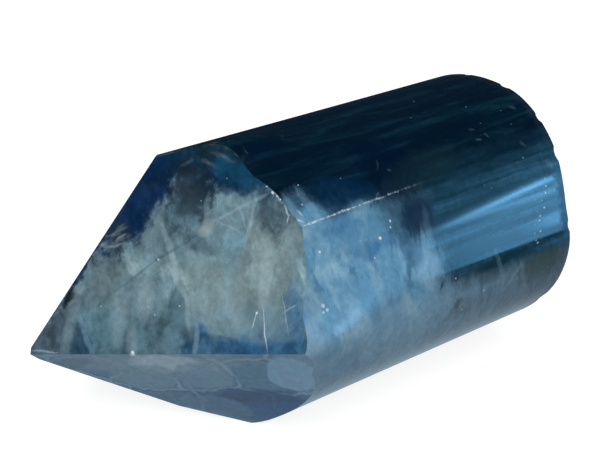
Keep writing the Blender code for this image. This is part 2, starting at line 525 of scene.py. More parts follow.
fibre_zone = lay(fade(fine_fibres, 0.46, 0.28, 0.0, 0.40), fibre_zone, FIBRE_DARK)
rear = fade(solid_run, 6.0, 34.0, 0.0, 0.7)
fibre_zone = lay(rear, fibre_zone, REAR_SMOKE)
body_tone = lay(low_cloud, clear_zone, fibre_zone)
back_clouds = cloud(stretched(loose_mm, BACK_GRAIN), 3.0, 0.6)
back_clouds = fade(back_clouds, 0.44, 0.66, 0.0, 0.75)
back_clouds = times(back_clouds, fade(solid_across, 6.0, 13.0))
body_tone = lay(back_clouds, body_tone, FIBRE_DARK)
tip_cloud = fade(calc("MULTIPLY_ADD", fibres, 22.0, solid_run), 2.0, -9.0, 0.0, 0.85)
tip_veils = cloud(stretched(loose_mm, VEIL_GRAIN), 3.0, 0.6)
tip_tone = lay(fade(tip_veils, 0.44, 0.64), TEAL_GREY, GREEN_GREY)
tip_tone = lay(fade(fine_fibres, 0.54, 0.76, 0.0, 0.35), tip_tone, PALE)
tip_tone = lay(fade(tip_veils, 0.46, 0.36, 0.0, 0.85), tip_tone, NAVY)
body_tone = lay(tip_cloud, body_tone, tip_tone)

# The column: steel blue between the crest and the front corner, with a milky cloud at its head.
STEEL_GRAIN = (26.0, 1.3, 1.0)
MILK_GRAIN = (3.2, 5.0, 6.0)
loose_skin = skin_chart(loose_mm, drift)
taut_skin = skin_chart(taut_mm, drift)
skin_run, skin_arc, _flat = split(loose_skin)
steel_foot = fade(skin_run, 10.0, 22.0, 6.8, 3.0)
steel_foot = fade(calc("SUBTRACT", skin_arc, steel_foot), 0.0, 2.5)
steel_band = times(fade(skin_arc, 23.0, 16.0), steel_foot)
steel_bands = cloud(stretched(skin_chart(taut_mm), STEEL_GRAIN), 2.0, 0.5)
steel_tone = lay(fade(steel_bands, 0.30, 0.75), DEEP_TEAL, STEEL)
skin_tone = lay(times(steel_band, 0.95), body_tone, steel_tone)
MILK_PATCHES = (
    ((-2.5, 9.2), (10.0, 9.3), 0.0, 0.44, 0.92, SKY),
    ((6.0, 9.5), (5.4, 7.0), 0.0, 0.65, 0.75, SKY),
    ((-4.8, 19.2), (2.4, 3.6), -16.0, 0.70, 0.60, SKY),
    ((0.5, 18.4), (4.2, 1.4), 0.0, 0.70, 0.45, SKY),
)
skin_tone = paint(skin_tone, loose_skin, MILK_PATCHES, ragged)
in_milk = spot(loose_skin, (-0.5, 10.0), (10.5, 8.6), 0.0, 0.60, ragged)
milk_light = cloud(stretched(loose_mm, MILK_GRAIN), 2.0, 0.5)
milk_marks = (
    (milk_light, 0.46, 0.68, 0.75, SKY_PALE),
    (fibres, 0.46, 0.30, 0.55, MID_BLUE),
    (fine_fibres, 0.54, 0.72, 0.35, SKY_PALE),
    (fine_fibres, 0.45, 0.29, 0.35, FIBRE_DARK),
)
for pattern, start, end, strength, shade in milk_marks:
    milk_mark = times(in_milk, fade(pattern, start, end, 0.0, strength))
    skin_tone = lay(milk_mark, skin_tone, shade)
SKIN_PATCHES = (
    ((0.8, 21.6), (4.4, 1.8), 0.0, 0.8, 0.80, tone(0.002, 0.030, 0.085)),
    ((0.0, 17.4), (1.8, 1.1), 10.0, 0.8, 0.45, VIVID_BLUE),
    ((2.6, 13.6), (1.8, 0.9), -25.0, 0.8, 0.40, VIVID_BLUE),
    ((6.3, 14.0), (1.5, 0.8), 10.0, 0.8, 0.45, VIVID_BLUE),
    ((5.6, 0.6), (5.0, 3.4), -10.0, 0.8, 0.60, FIBRE_PALE),
    ((-5.0, 18.4), (0.8, 0.7), 0.0, 0.9, 0.20, PALE),
    ((9.2, 12.0), (1.6, 2.2), 0.0, 0.6, 0.80, tone(0.042, 0.118, 0.205)),
    ((-7.2, 10.2), (1.2, 2.2), 0.0, 0.7, 0.50, tone(0.190, 0.290, 0.350)),
    ((-2.0, 7.2), (2.4, 2.0), 0.0, 0.7, 0.55, tone(0.125, 0.270, 0.400)),
    ((3.4, 4.6), (2.4, 2.2), 0.0, 0.7, 0.50, tone(0.085, 0.190, 0.300)),
    ((2.6, 15.2), (3.0, 2.0), 0.0, 0.7, 0.50, tone(0.078, 0.200, 0.335)),
    ((3.6, 13.0), (1.0, 0.5), 50.0, 0.6, 0.45, VIVID_BLUE),
    ((19.4, 4.4), (3.2, 1.3), 0.0, 0.6, 0.50, tone(0.030, 0.062, 0.090)),
    ((10.2, 16.8), (3.8, 3.6), 0.0, 0.5, 0.85, tone(0.038, 0.090, 0.150)),
    ((11.7, 15.6), (2.3, 2.2), 0.0, 0.6, 0.90, tone(0.008, 0.030, 0.070)),
    ((8.4, 9.7), (0.6, 2.1), -8.0, 0.6, 0.7, tone(0.040, 0.100, 0.160)),
    ((10.2, 23.2), (3.4, 4.2), 10.0, 0.4, 0.8, tone(0.0008, 0.010, 0.032)),
    ((16.0, 21.5), (5.5, 2.0), 4.0, 0.6, 0.4, tone(0.012, 0.040, 0.050)),
    ((15.0, 1.0), (1.6, 0.6), 35.0, 0.6, 0.7, tone(0.030, 0.060, 0.090)),
    ((17.5, 0.3), (2.8, 1.3), 10.0, 0.6, 0.5, tone(0.070, 0.105, 0.140)),
    ((30.6, 2.5), (3.8, 2.2), 0.0, 0.55, 0.85, OLIVE),
    ((24.0, 6.0), (3.5, 0.7), -4.0, 0.7, 0.6, tone(0.010, 0.040, 0.065)),
    ((-9.2, 7.4), (0.9, 1.4), 0.0, 0.6, 0.4, VIVID_BLUE),
    ((-10.4, 4.4), (3.0, 2.6), 0.0, 0.7, 0.9, tone(0.190, 0.320, 0.430)),
    ((-3.4, 20.0), (1.5, 1.2), 0.0, 0.7, 0.50, SKY),
)
skin_tone = paint(skin_tone, loose_skin, SKIN_PATCHES, ragged)
SKIN_WISPS = (
    ((12.6, 15.0), (12.0, 9.0), 0.45, 0.14, SKY_PALE),
    ((11.5, 13.2), (11.0, 8.4), 0.26, 0.24, SKY_PALE),
    ((7.4, 12.4), (7.5, 8.8), 0.28, 0.35, SKY_PALE),
    ((-4.5, 21.2), (-4.2, 20.5), 0.10, 0.32, WHITE),
    ((-5.2, 20.1), (-4.6, 19.6), 0.09, 0.32, WHITE),
    ((-3.0, 23.4), (-2.4, 19.4), 0.40, 0.16, SKY_PALE),
    ((-5.2, 22.6), (-4.6, 18.0), 0.50, 0.18, SKY_PALE),
    ((22.7, 6.4), (23.4, 2.4), 0.30, 0.18, FIBRE_PALE),
    ((24.2, 1.0), (26.4, 3.6), 0.25, 0.20, FIBRE_PALE),
    ((27.0, 3.4), (28.4, -1.4), 0.30, 0.16, FIBRE_PALE),
    ((18.4, 3.2), (19.6, -3.4), 0.60, 0.28, FIBRE_PALE),
    ((13.6, 3.0), (15.2, -6.0), 0.80, 0.30, FIBRE_PALE),
    ((8.6, 2.0), (9.6, -7.0), 0.90, 0.30, FIBRE_PALE),
    ((22.0, -2.0), (23.0, -8.0), 0.60, 0.22, FIBRE_PALE),
    ((-3.9, 11.2), (-3.5, 8.4), 0.30, 0.45, SKY_PALE),
    ((3.0, 9.6), (3.8, 1.0), 0.60, 0.22, SKY_PALE),
    ((-1.4, 7.4), (0.6, -2.0), 0.80, 0.35, SKY_PALE),
    ((9.4, 24.4), (9.0, 23.4), 0.10, 0.08, FIBRE_PALE),
    ((10.3, 22.6), (10.6, 22.4), 0.14, 0.16, FIBRE_PALE),
    ((25.2, 24.6), (26.0, 24.4), 0.16, 0.10, FIBRE_PALE),
    ((25.5, 22.9), (26.2, 22.8), 0.14, 0.14, FIBRE_PALE),
    ((27.1, 23.2), (27.4, 22.7), 0.13, 0.12, FIBRE_PALE),
    ((31.9, 20.6), (32.3, 19.9), 0.22, 0.12, FIBRE_PALE),
    ((34.9, 16.8), (35.5, 15.9), 0.35, 0.16, FIBRE_PALE),
    ((34.0, 26.2), (34.6, 25.7), 0.20, 0.14, FIBRE_PALE),
)
skin_tone = draw(skin_tone, taut_skin, SKIN_WISPS, ragged)
# Small bright dots: specks in the stone, and painted glints where they sit by a facet edge.
SKIN_SPECKS_AND_GLINTS = (
    ((5.1, 14.5), 0.15, 0.80),
    ((7.2, 16.3), 0.13, 0.55),
    ((6.9, 15.6), 0.10, 0.45),
    ((-3.8, 15.4), 0.13, 0.60),
    ((-2.6, 24.6), 0.09, 0.40),
    ((-3.6, 22.0), 0.11, 0.30),
    ((3.4, 12.4), 0.09, 0.6),
    ((15.2, 5.7), 0.11, 0.5),
    ((20.1, 2.1), 0.10, 0.5),
    ((16.6, 0.1), 0.10, 0.5),
    ((-5.6, 8.9), 0.20, 0.55),
    ((-5.2, 8.3), 0.16, 0.50),
    ((-5.8, 8.2), 0.12, 0.45),
    ((31.1, 18.4), 0.09, 0.18),
)
skin_tone = dot_row(skin_tone, taut_skin, SKIN_SPECKS_AND_GLINTS)

# A chain of tiny bubbles hangs down the rear of the column.
BUBBLE_START = (33.6, 14.4)
BUBBLE_END = (29.6, 6.2)
BUBBLES = 15
for bubble in range(BUBBLES):
    share = bubble / (BUBBLES - 1)
    jitter = math.sin(bubble * 2.4)
    middle = (
        BUBBLE_START[0] + (BUBBLE_END[0] - BUBBLE_START[0]) * share + 0.55 * jitter,
        BUBBLE_START[1] + (BUBBLE_END[1] - BUBBLE_START[1]) * share + 0.3 * math.cos(bubble * 3.7),
    )
    radius, strength = 0.09 + 0.03 * jitter, 0.28 + 0.16 * jitter
    skin_tone = dot_row(skin_tone, taut_skin, [(middle, radius, strength)])

# The crest is a little bruised: a thin white line that breaks up towards its end.
BRUISE_WHITE = tone(0.50, 0.56, 0.60)
true_skin = skin_chart(solid_mm)
true_run, true_arc, _flat = split(true_skin)
CREST_ARC = math.radians(RIDGE_AZIMUTH) * SKIN_RADIUS_MM
CREST_DRIFT = math.radians(RIDGE_DRIFT) * SKIN_RADIUS_MM * MM / (BASE_AT - SHOULDER_AT)
SHOULDER_RUN = (SHOULDER_AT + axis_at.x) / MM
past_shoulder = calc("SUBTRACT", true_run, SHOULDER_RUN)
crest_arc = calc("ADD", times(past_shoulder, CREST_DRIFT), CREST_ARC)
crest_off = calc("ABSOLUTE", calc("SUBTRACT", true_arc, crest_arc))
crest_edge = calc("SUBTRACT", crest_off, times(calc("SUBTRACT", mottle, 0.5), 0.7))
crest_wear = fade(true_run, 17.0, -3.0, 0.0, 0.85)
crest_wear = times(crest_wear, fade(fine_fibres, 0.36, 0.60, 0.15, 1.0))
crest_line = times(fade(crest_edge, 0.16, 0.02), crest_wear)
skin_tone = lay(crest_line, skin_tone, BRUISE_WHITE)

# The front facet: a grey-green cloud of upright lobes under a clear blue corner.
LOBE_GRAIN = (5.2, 8.5, 1.0)
LOBE_LEAN = 5.0
BILLOW_GRAIN = (2.6, 3.8, 1.0)
BILLOW_LEAN = 8.0
LOW_TEAL = tone(0.064, 0.140, 0.182)
front_grain = facet_chart(loose_mm, front_up)
loose_front = facet_chart(loose_mm, front_up, drift)
taut_front = facet_chart(taut_mm, front_up, drift)
lobe_feeds = {"Vector": stretched(front_grain, LOBE_GRAIN, LOBE_LEAN), "Scale": 1.0}
CELL_PATTERN = "ShaderNodeTexVoronoi"
lobes = node(CELL_PATTERN, lobe_feeds, voronoi_dimensions="2D", feature="SMOOTH_F1")
lobe_tint = node("ShaderNodeSeparateColor", {0: lobes.outputs["Color"]}).outputs[0]
front_tone = lay(fade(lobe_tint, 0.2, 0.9), GREEN_GREY, WARM_GREY)
front_tone = lay(fade(lobes.outputs["Distance"], 0.55, 0.15, 0.0, 0.45), front_tone, TEAL_GREY)
front_tone = lay(fade(fibres, 0.55, 0.32, 0.0, 0.8), front_tone, TEAL_GREY)
front_tone = lay(fade(fine_fibres, 0.50, 0.78, 0.0, 0.55), front_tone, PALE)
front_tone = lay(fade(fine_fibres, 0.45, 0.27, 0.0, 0.35), front_tone, TEAL_GREY)
low_front = fade(along((0.0, 1.0, 0.0), loose_front), 10.5, 2.0, 0.0, 0.90)
front_tone = lay(low_front, front_tone, LOW_TEAL)
billows = cloud(stretched(front_grain, BILLOW_GRAIN, BILLOW_LEAN), 3.0, 0.6)
lumpy = calc("MULTIPLY_ADD", calc("ADD", billows, mottle), 1.3, -1.3)
FRONT_PATCHES = (
    ((18.5, 16.8), (3.6, 3.6), 20.0, 0.60, 0.90, tone(0.094, 0.160, 0.190)),
    ((10.4, 11.0), (4.4, 2.4), 50.0, 0.60, 0.85, tone(0.092, 0.142, 0.166)),
    ((12.6, 8.8), (3.4, 1.9), 20.0, 0.60, 0.60, tone(0.125, 0.185, 0.200)),
    ((16.2, 7.4), (3.0, 2.6), 0.0, 0.60, 0.80, tone(0.100, 0.170, 0.200)),
    ((29.4, 10.8), (1.7, 3.4), 0.0, 0.60, 0.75, tone(0.108, 0.190, 0.225)),
    ((37.4, 13.0), (1.4, 3.6), 0.0, 0.60, 0.50, tone(0.125, 0.200, 0.235)),
    ((29.3, 18.0), (3.8, 4.2), 0.0, 0.50, 0.70, tone(0.130, 0.220, 0.260)),
    ((29.4, 14.3), (1.5, 1.5), 0.0, 0.4, 0.55, tone(0.18, 0.34, 0.43)),
    ((25.3, 11.5), (3.9, 4.4), 0.0, 0.30, 0.50, tone(0.145, 0.225, 0.245)),
    ((25.6, 8.4), (3.4, 3.0), 0.0, 0.60, 0.40, WARM_GREY),
    ((25.8, 14.2), (2.2, 1.2), -20.0, 0.60, 0.75, tone(0.066, 0.120, 0.150)),
    ((27.4, 16.5), (1.6, 1.8), 0.0, 0.60, 0.60, tone(0.175, 0.275, 0.325)),
    ((34.2, 18.4), (1.5, 1.7), 0.0, 0.60, 0.80, tone(0.032, 0.074, 0.108)),
    ((34.8, 11.6), (3.2, 6.0), 0.0, 0.5, 0.65, tone(0.185, 0.245, 0.248)),
    ((35.6, 17.6), (1.9, 2.3), 0.0, 0.6, 0.85, tone(0.050, 0.088, 0.110)),
    ((35.8, 14.6), (0.7, 1.2), 0.0, 0.6, 0.55, tone(0.060, 0.100, 0.115)),
    ((22.0, 5.2), (1.5, 4.0), 6.0, 0.30, 0.75, tone(0.060, 0.125, 0.160)),
    ((27.5, 4.9), (4.4, 3.0), 0.0, 0.4, 0.4, tone(0.230, 0.330, 0.370)),
    ((19.4, 2.2), (3.2, 3.2), 0.0, 0.5, 0.75, tone(0.078, 0.142, 0.178)),
    ((25.8, 0.8), (3.4, 1.6), 0.0, 0.4, 0.8, MID_BLUE),
    ((30.0, 0.4), (3.0, 1.2), 0.0, 0.4, 0.7, MID_BLUE),
    ((34.4, 0.7), (4.8, 1.7), 0.0, 0.7, 0.75, tone(0.024, 0.100, 0.215)),
    ((37.0, 3.0), (1.6, 1.3), 0.0, 0.7, 0.45, tone(0.150, 0.250, 0.330)),
    ((33.6, 3.6), (1.8, 1.6), 0.0, 0.7, 0.40, tone(0.190, 0.290, 0.350)),
    ((38.2, 5.4), (1.0, 3.0), 0.0, 0.7, 0.45, VIVID_BLUE),
    ((24.6, 3.1), (0.9, 1.0), 0.0, 0.6, 0.6, VIVID_BLUE),
    ((7.4, 1.3), (1.8, 3.3), 0.0, 0.25, 0.85, tone(0.030, 0.085, 0.150)),
    ((2.5, 2.0), (5.0, 3.0), 40.0, 0.5, 0.85, tone(0.075, 0.115, 0.150)),
    ((5.4, 5.2), (4.2, 1.1), 52.0, 0.5, 0.6, tone(0.070, 0.115, 0.145)),
    ((16.0, 22.2), (9.6, 4.3), 54.0, 0.30, 0.97, NAVY),
    ((20.5, 25.6), (4.8, 2.6), 0.0, 0.35, 0.95, NAVY),
    ((8.4, 12.8), (6.5, 0.6), 54.0, 0.45, 0.9, NAVY),
    ((31.2, 22.6), (4.6, 1.5), -32.0, 0.6, 0.8, tone(0.030, 0.070, 0.135)),
    ((29.5, 21.6), (2.6, 0.9), 0.0, 0.6, 0.75, tone(0.020, 0.052, 0.110)),
    ((27.8, 24.8), (7.0, 2.6), -14.0, 0.40, 0.95, tone(0.007, 0.056, 0.122)),
    ((31.2, 23.2), (3.2, 1.2), -26.0, 0.60, 0.80, tone(0.010, 0.078, 0.150)),
    ((30.5, 26.6), (5.0, 1.2), -8.0, 0.50, 0.7, tone(0.014, 0.034, 0.040)),
    ((23.8, 21.8), (3.0, 4.4), 0.0, 0.45, 0.95, SMOKE),
    ((23.0, 20.4), (1.7, 2.8), 8.0, 0.7, 0.45, tone(0.060, 0.090, 0.110)),
    ((23.6, 17.4), (2.8, 2.6), 0.0, 0.7, 0.65, tone(0.060, 0.115, 0.150)),
    ((15.8, 17.4), (1.3, 1.4), 0.0, 0.5, 0.80, NAVY),
    ((5.5, 7.6), (1.2, 0.5), 54.0, 0.6, 0.85, NEAR_BLACK),
)
front_tone = paint(front_tone, loose_front, FRONT_PATCHES, lumpy)
front_light = fade(billows, 0.28, 0.72, 0.72, 1.26)
front_tone = relit(front_tone, front_light)
FRONT_WISPS = (
    ((19.4, 17.4), (21.2, 12.8), 0.30, 0.20, PALE),
    ((21.0, 13.4), (21.7, 9.4), 0.32, 0.26, PALE),
    ((21.6, 10.0), (23.2, 6.8), 0.26, 0.24, PALE),
    ((23.0, 7.4), (23.4, 4.0), 0.24, 0.24, PALE),
    ((26.3, 20.0), (25.8, 16.8), 0.30, 0.16, PALE),
    ((32.8, 19.4), (31.7, 15.0), 0.20, 0.26, PALE),
    ((28.4, 17.8), (33.8, 20.0), 0.17, 0.22, PALE),
    ((28.2, 16.8), (30.8, 15.6), 0.14, 0.20, PALE),
    ((30.2, 19.4), (31.6, 16.2), 0.12, 0.18, PALE),
    ((15.1, 0.0), (15.2, 3.2), 0.50, 0.22, PALE),
    ((0.5, 0.5), (3.2, 0.3), 0.10, 0.40, PALE),
    ((6.9, 8.4), (5.0, 1.2), 0.60, 0.14, PALE),
    ((7.2, 5.0), (9.0, 0.6), 0.30, 0.14, PALE),
    ((32.2, 13.6), (31.6, 8.4), 0.14, 0.30, TEAL_GREY),
    ((29.9, 12.6), (30.2, 9.6), 0.16, 0.35, TEAL_GREY),
    ((35.8, 12.4), (35.0, 8.8), 0.14, 0.30, TEAL_GREY),
    ((17.5, 9.5), (17.0, 5.5), 0.80, 0.30, PALE),
    ((13.4, 7.0), (13.0, 2.0), 0.90, 0.22, PALE),
    ((30.5, 11.0), (30.2, 5.0), 0.90, 0.30, WARM_GREY),
    ((34.6, 13.0), (33.8, 7.0), 0.60, 0.30, PALE),
    ((24.6, 3.6), (24.3, 0.4), 0.25, 0.22, PALE),
)
front_tone = draw(front_tone, taut_front, FRONT_WISPS, ragged)
CRACK_SHADE = tone(0.055, 0.110, 0.135)
FRONT_CRACKS = (
    ((32.75, 5.0), (32.35, 3.6), 0.050, 0.50, WHITE),
    ((33.8, 4.9), (34.15, 1.2), 0.050, 0.55, WHITE),
    ((13.5, 9.0), (20.2, 13.2), 0.14, 0.45, CRACK_SHADE),
    ((20.4, 13.2), (24.6, 15.4), 0.10, 0.40, CRACK_SHADE),
    ((35.4, 20.8), (36.3, 19.4), 0.06, 0.25, WHITE),
    ((37.0, 18.5), (37.4, 17.5), 0.08, 0.35, WHITE),
    ((37.5, 17.3), (37.3, 16.5), 0.07, 0.30, WHITE),
    ((36.6, 5.3), (38.0, 6.1), 0.09, 0.40, PALE),
    ((37.0, 3.2), (36.4, 6.6), 0.08, 0.35, PALE),
)
front_tone = draw(front_tone, taut_front, FRONT_CRACKS)
FLAKE_GREY = tone(0.150, 0.170, 0.180)
FLAKE_PALE = tone(0.240, 0.270, 0.280)
FLAKES = (
    ((13.0, 15.5), (1.8, 1.7), 20.0, 0.7, 0.50, tone(0.035, 0.065, 0.080)),
    ((13.4, 17.0), (0.6, 0.14), 35.0, 0.9, 0.40, FLAKE_GREY),
    ((13.3, 16.5), (0.9, 0.17), 28.0, 0.9, 0.48, FLAKE_GREY),
    ((12.5, 15.9), (0.8, 0.16), 5.0, 0.9, 0.45, FLAKE_GREY),
    ((13.6, 15.6), (0.6, 0.13), 24.0, 0.9, 0.50, FLAKE_PALE),
    ((13.2, 15.1), (1.0, 0.13), 16.0, 0.9, 0.40, FLAKE_GREY),
    ((12.5, 14.5), (0.9, 0.16), 4.0, 0.9, 0.50, FLAKE_PALE),
    ((13.9, 14.5), (0.5, 0.15), 12.0, 0.9, 0.45, FLAKE_GREY),
    ((28.0, 25.8), (0.9, 0.22), -15.0, 0.9, 0.28, FLAKE_GREY),
    ((29.2, 25.2), (0.7, 0.20), -30.0, 0.9, 0.24, FLAKE_GREY),
    ((23.4, 25.1), (0.7, 0.20), 30.0, 0.9, 0.24, FLAKE_GREY),
    ((25.9, 25.1), (0.5, 0.22), -30.0, 0.9, 0.30, FLAKE_GREY),
    ((26.8, 24.6), (0.5, 0.22), -30.0, 0.9, 0.28, FLAKE_GREY),
    ((30.6, 25.6), (0.5, 0.18), -30.0, 0.9, 0.26, FLAKE_GREY),
    ((25.5, 15.9), (0.6, 0.5), 20.0, 0.9, 0.40, tone(0.34, 0.40, 0.40)),
    ((26.2, 16.4), (0.7, 0.8), 0.0, 0.9, 0.30, tone(0.34, 0.40, 0.40)),
)
front_tone = paint(front_tone, taut_front, FLAKES, lumpy)
# Small bright dots: specks in the stone, and painted glints where they sit on the facet's edges.
FRONT_SPECKS_AND_GLINTS = (
    ((19.0, 12.3), 0.11, 0.55),
    ((22.0, 6.2), 0.09, 0.40),
    ((10.5, 6.3), 0.09, 0.35),
    ((18.4, 5.0), 0.08, 0.35),
    ((17.5, 6.2), 0.08, 0.35),
    ((15.1, 0.1), 0.20, 0.75),
    ((32.8, 5.2), 0.12, 0.75),
    ((35.3, 20.4), 0.16, 0.75),
    ((34.4, 21.3), 0.09, 0.5),
    ((35.9, 19.9), 0.11, 0.6),
    ((36.4, 19.5), 0.09, 0.5),
    ((37.7, 18.3), 0.13, 0.5),
    ((38.0, 17.6), 0.11, 0.4),
)
front_tone = dot_row(front_tone, taut_front, FRONT_SPECKS_AND_GLINTS)

# The lower facet: slate blue panes that meet along pale, curved seams.
PANE_GRAIN = (9.0, 5.5, 1.0)
SEAM_SHADOW = tone(0.040, 0.110, 0.210)
loose_lower = facet_chart(loose_mm, lower_down, drift)
lower_tone = lay(fade(fibres, 0.35, 0.65), SLATE_DARK, SLATE)
pane_places = stretched(facet_chart(loose_mm, lower_down), PANE_GRAIN)
pane_feeds = {"Vector": pane_places, "Scale": 1.0}
pane_cells = node(CELL_PATTERN, pane_feeds, voronoi_dimensions="2D", feature="F1")
pane_edges = node(CELL_PATTERN, pane_feeds, voronoi_dimensions="2D", feature="DISTANCE_TO_EDGE")
panes = pane_edges.outputs["Distance"]
pane_shade = node("ShaderNodeSeparateColor", {0: pane_cells.outputs["Color"]}).outputs[1]
lower_tone = lay(fade(pane_shade, 0.3, 0.9, 0.0, 0.65), lower_tone, SLATE_DARK)
lower_tone = lay(fade(pane_shade, 0.5, 0.1, 0.0, 0.30), lower_tone, SLATE_PALE)
seam_shadow = times(fade(panes, 0.03, 0.07), fade(panes, 0.16, 0.08, 0.0, 0.45))
lower_tone = lay(seam_shadow, lower_tone, SEAM_SHADOW)
lower_tone = lay(fade(panes, 0.07, 0.0, 0.0, 0.55), lower_tone, SLATE_PALE)
LOWER_PATCHES = (
    ((16.5, 1.8), (13.0, 3.4), 0.0, 0.6, 0.60, tone(0.250, 0.370, 0.440)),
    ((18.8, 2.4), (4.6, 2.2), -3.0, 0.25, 0.85, tone(0.420, 0.550, 0.620)),
    ((14.5, 6.2), (5.5, 3.2), -8.0, 0.10, 0.6, tone(0.160, 0.300, 0.380)),
    ((22.5, 5.8), (3.0, 3.6), 0.0, 0.10, 0.6, tone(0.150, 0.300, 0.400)),
    ((31.2, 6.0), (3.4, 3.6), 0.0, 0.10, 0.8, tone(0.090, 0.220, 0.340)),
    ((36.0, 5.5), (3.5, 4.6), 0.0, 0.08, 0.9, tone(0.230, 0.420, 0.580)),
    ((29.5, 15.0), (10.0, 5.0), 8.0, 0.25, 0.9, INDIGO),
    ((22.0, 15.0), (4.4, 3.4), 20.0, 0.10, 0.5, tone(0.130, 0.270, 0.390)),
    ((4.6, 2.8), (3.2, 1.4), -10.0, 0.3, 0.5, tone(0.080, 0.120, 0.190)),
)
lower_tone = paint(lower_tone, loose_lower, LOWER_PATCHES)
# The same bright dot on the edge shared with the front facet: a painted glint.
lower_tone = dot_row(lower_tone, facet_chart(solid_mm, lower_down), [((15.1, 0.1), 0.32, 0.9)])

# The charts meet at the cut edges, and the sawn base shows faint rings. Fine mottling and a
# dust of specks run through all of them.
FACET_EDGE = (0.990, 0.996)
RINGS_PER_MM = 0.40
on_front = fade(along(front_normal, facing), *FACET_EDGE)
on_lower = fade(along(lower_normal, facing), *FACET_EDGE)
on_base = fade(along(base_normal, facing), *FACET_EDGE)
off_axis = vector("SUBTRACT", loose_mm, (0.0, axis_mm.y, axis_mm.z))
across_base = vector("MULTIPLY", off_axis, (0.0, 1.0, 1.0))
ring_at = node("ShaderNodeVectorMath", {0: across_base}, operation="LENGTH").outputs["Value"]
ring_feeds = {"W": ring_at, "Scale": RINGS_PER_MM, "Detail": 4.0}
rings = node("ShaderNodeTexNoise", ring_feeds, noise_dimensions="1D").outputs["Fac"]
base_tone = lay(fade(rings, 0.38, 0.66, 0.0, 0.45), body_tone, STEEL)
stone_tone = lay(on_base, skin_tone, base_tone)
stone_tone = lay(on_front, stone_tone, front_tone)
stone_tone = lay(on_lower, stone_tone, lower_tone)
shimmer = fade(mottle, 0.25, 0.75, 0.86, 1.16)
stone_tone = relit(stone_tone, shimmer)
DUST_PER_MM = 0.9
DUST_PALE = tone(0.45, 0.55, 0.62)
dust = node(CELL_PATTERN, {"Vector": solid_mm, "Scale": DUST_PER_MM}, feature="F1")
dust_size = node("ShaderNodeSeparateColor", {0: dust.outputs["Color"]}).outputs[0]
dust_mask = fade(dust.outputs["Distance"], 0.11, 0.04)
dust_mask = times(dust_mask, fade(dust_size, 0.80, 0.98, 0.0, 0.5))
stone_tone = lay(dust_mask, stone_tone, DUST_PALE)

# Fresh chips in the rim are paler and dull, with no polish on them.
CHIP_PALENESS = 0.40
SHELL_NEAR, SHELL_OFF = 0.02, 0.05
chipped = 0.0
for bruise_middle, bruise_size in bruises[: len(RIM_CHIPS)]:
    from_middle = vector("SUBTRACT", solid_mm, tuple((bruise_middle + axis_at) / MM))
    away = node("ShaderNodeVectorMath", {0: from_middle}, operation="LENGTH").outputs["Value"]
    off_shell = calc("ABSOLUTE", calc("SUBTRACT", away, bruise_size / MM))
    chipped = calc("MAXIMUM", chipped, fade(off_shell, SHELL_OFF, SHELL_NEAR))
stone_tone = lay(times(chipped, CHIP_PALENESS), stone_tone, FIBRE_GREY)

# The clear parts let light in and the clouds almost none. The polish is finest on the column,
# with a duller bloom over the milky cloud, on the sawn base and along its rim.
CLEAR = 0.5
CLOUDY = 0.05
AGATE_IOR = 1.54
DEPTH_TINT = tone(0.05, 0.50, 0.76)
DEPTH_DENSITY = 110.0
FINEST_POLISH = 0.045
WORN_POLISH = 0.085
BLOOM_DULL = 0.24
BASE_DULL = 0.13
RIM_DULL = 0.25
CHIP_DULL = 0.35
brightness = node("ShaderNodeRGBToBW", {0: stone_tone}).outputs[0]
see_through = fade(brightness, 0.02, 0.16, CLEAR, CLOUDY)
smooth_skin = fade(mottle, 0.3, 0.7, FINEST_POLISH, WORN_POLISH)
bloom = spot(true_skin, (-3.4, 8.4), (7.0, 4.4), 0.0, 0.5)
smooth_skin = calc("MULTIPLY_ADD", bloom, BLOOM_DULL, smooth_skin)
smooth_skin = calc("MULTIPLY_ADD", on_base, BASE_DULL, smooth_skin)
base_mm = (axis_at + Vector((BASE_AT, 0.0, 0.0))) / MM
from_base = calc("SUBTRACT", base_normal.dot(base_mm), along(base_normal, solid_mm))
rim_wear = calc("MULTIPLY_ADD", calc("SUBTRACT", mottle, 0.5), 3.0, from_base)
smooth_skin = calc("MULTIPLY_ADD", fade(rim_wear, 1.8, 0.7), RIM_DULL, smooth_skin)
smooth_skin = calc("ADD", smooth_skin, times(chipped, CHIP_DULL))
tree.links.new(stone_tone, polish.inputs["Base Color"])
tree.links.new(smooth_skin, polish.inputs["Roughness"])
tree.links.new(see_through, polish.inputs["Transmission Weight"])
polish.inputs["IOR"].default_value = AGATE_IOR

# Polishing leaves faint lines along the column and a slight orange peel.
LAP_SIZES = (40.0, 0.24, 1.0)
PEEL_SIZES = (3.0, 3.0, 3.0)
RELIEF = 0.0006 * MM
lap_lines = cloud(stretched(true_skin, LAP_SIZES), 1.0, 0.6)
peel = cloud(stretched(solid_mm, PEEL_SIZES), 2.0)
on_column = calc("SUBTRACT", 1.0, on_base)
relief = calc("MULTIPLY_ADD", times(lap_lines, on_column), 0.9, peel)
bump = node("ShaderNodeBump", {"Height": relief, "Strength": 1.0, "Distance": RELIEF})
tree.links.new(bump.outputs[0], polish.inputs["Normal"])

depth = node("ShaderNodeVolumeAbsorption", {"Color": DEPTH_TINT, "Density": DEPTH_DENSITY})
tree.links.new(depth.outputs[0], tree.nodes["Material Output"].inputs["Volume"])

stone.data.materials.clear()
stone.data.materials.append(agate)

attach(stone, "root")
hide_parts("agate_point")


# ---- The table and the card -----------------------------------------------------------------
# The stone lies on a sheet of white card on a white table. The card alone is seen in the
# polish; it darkens away from the stone, so that a dark strip shows above its reflection.

CARD_LOW = (-0.50, -0.45)
CARD_HIGH = (0.22, 0.03)
CARD_BRIGHT_TO = 0.040
CARD_DARK_FROM = 0.110
TABLE_HALF = 2.0
TABLE_DROP = 0.0002
PAPER_GLOW = 0.89
PAPER_SHADOW = (0.22, 0.22, 0.22, 1.0)
PAPER_BOUNCE = (0.42, 0.43, 0.47, 1.0)
PAPER_IN_POLISH = 0.54
PAPER_TINT = (0.68, 0.87, 1.0, 1.0)


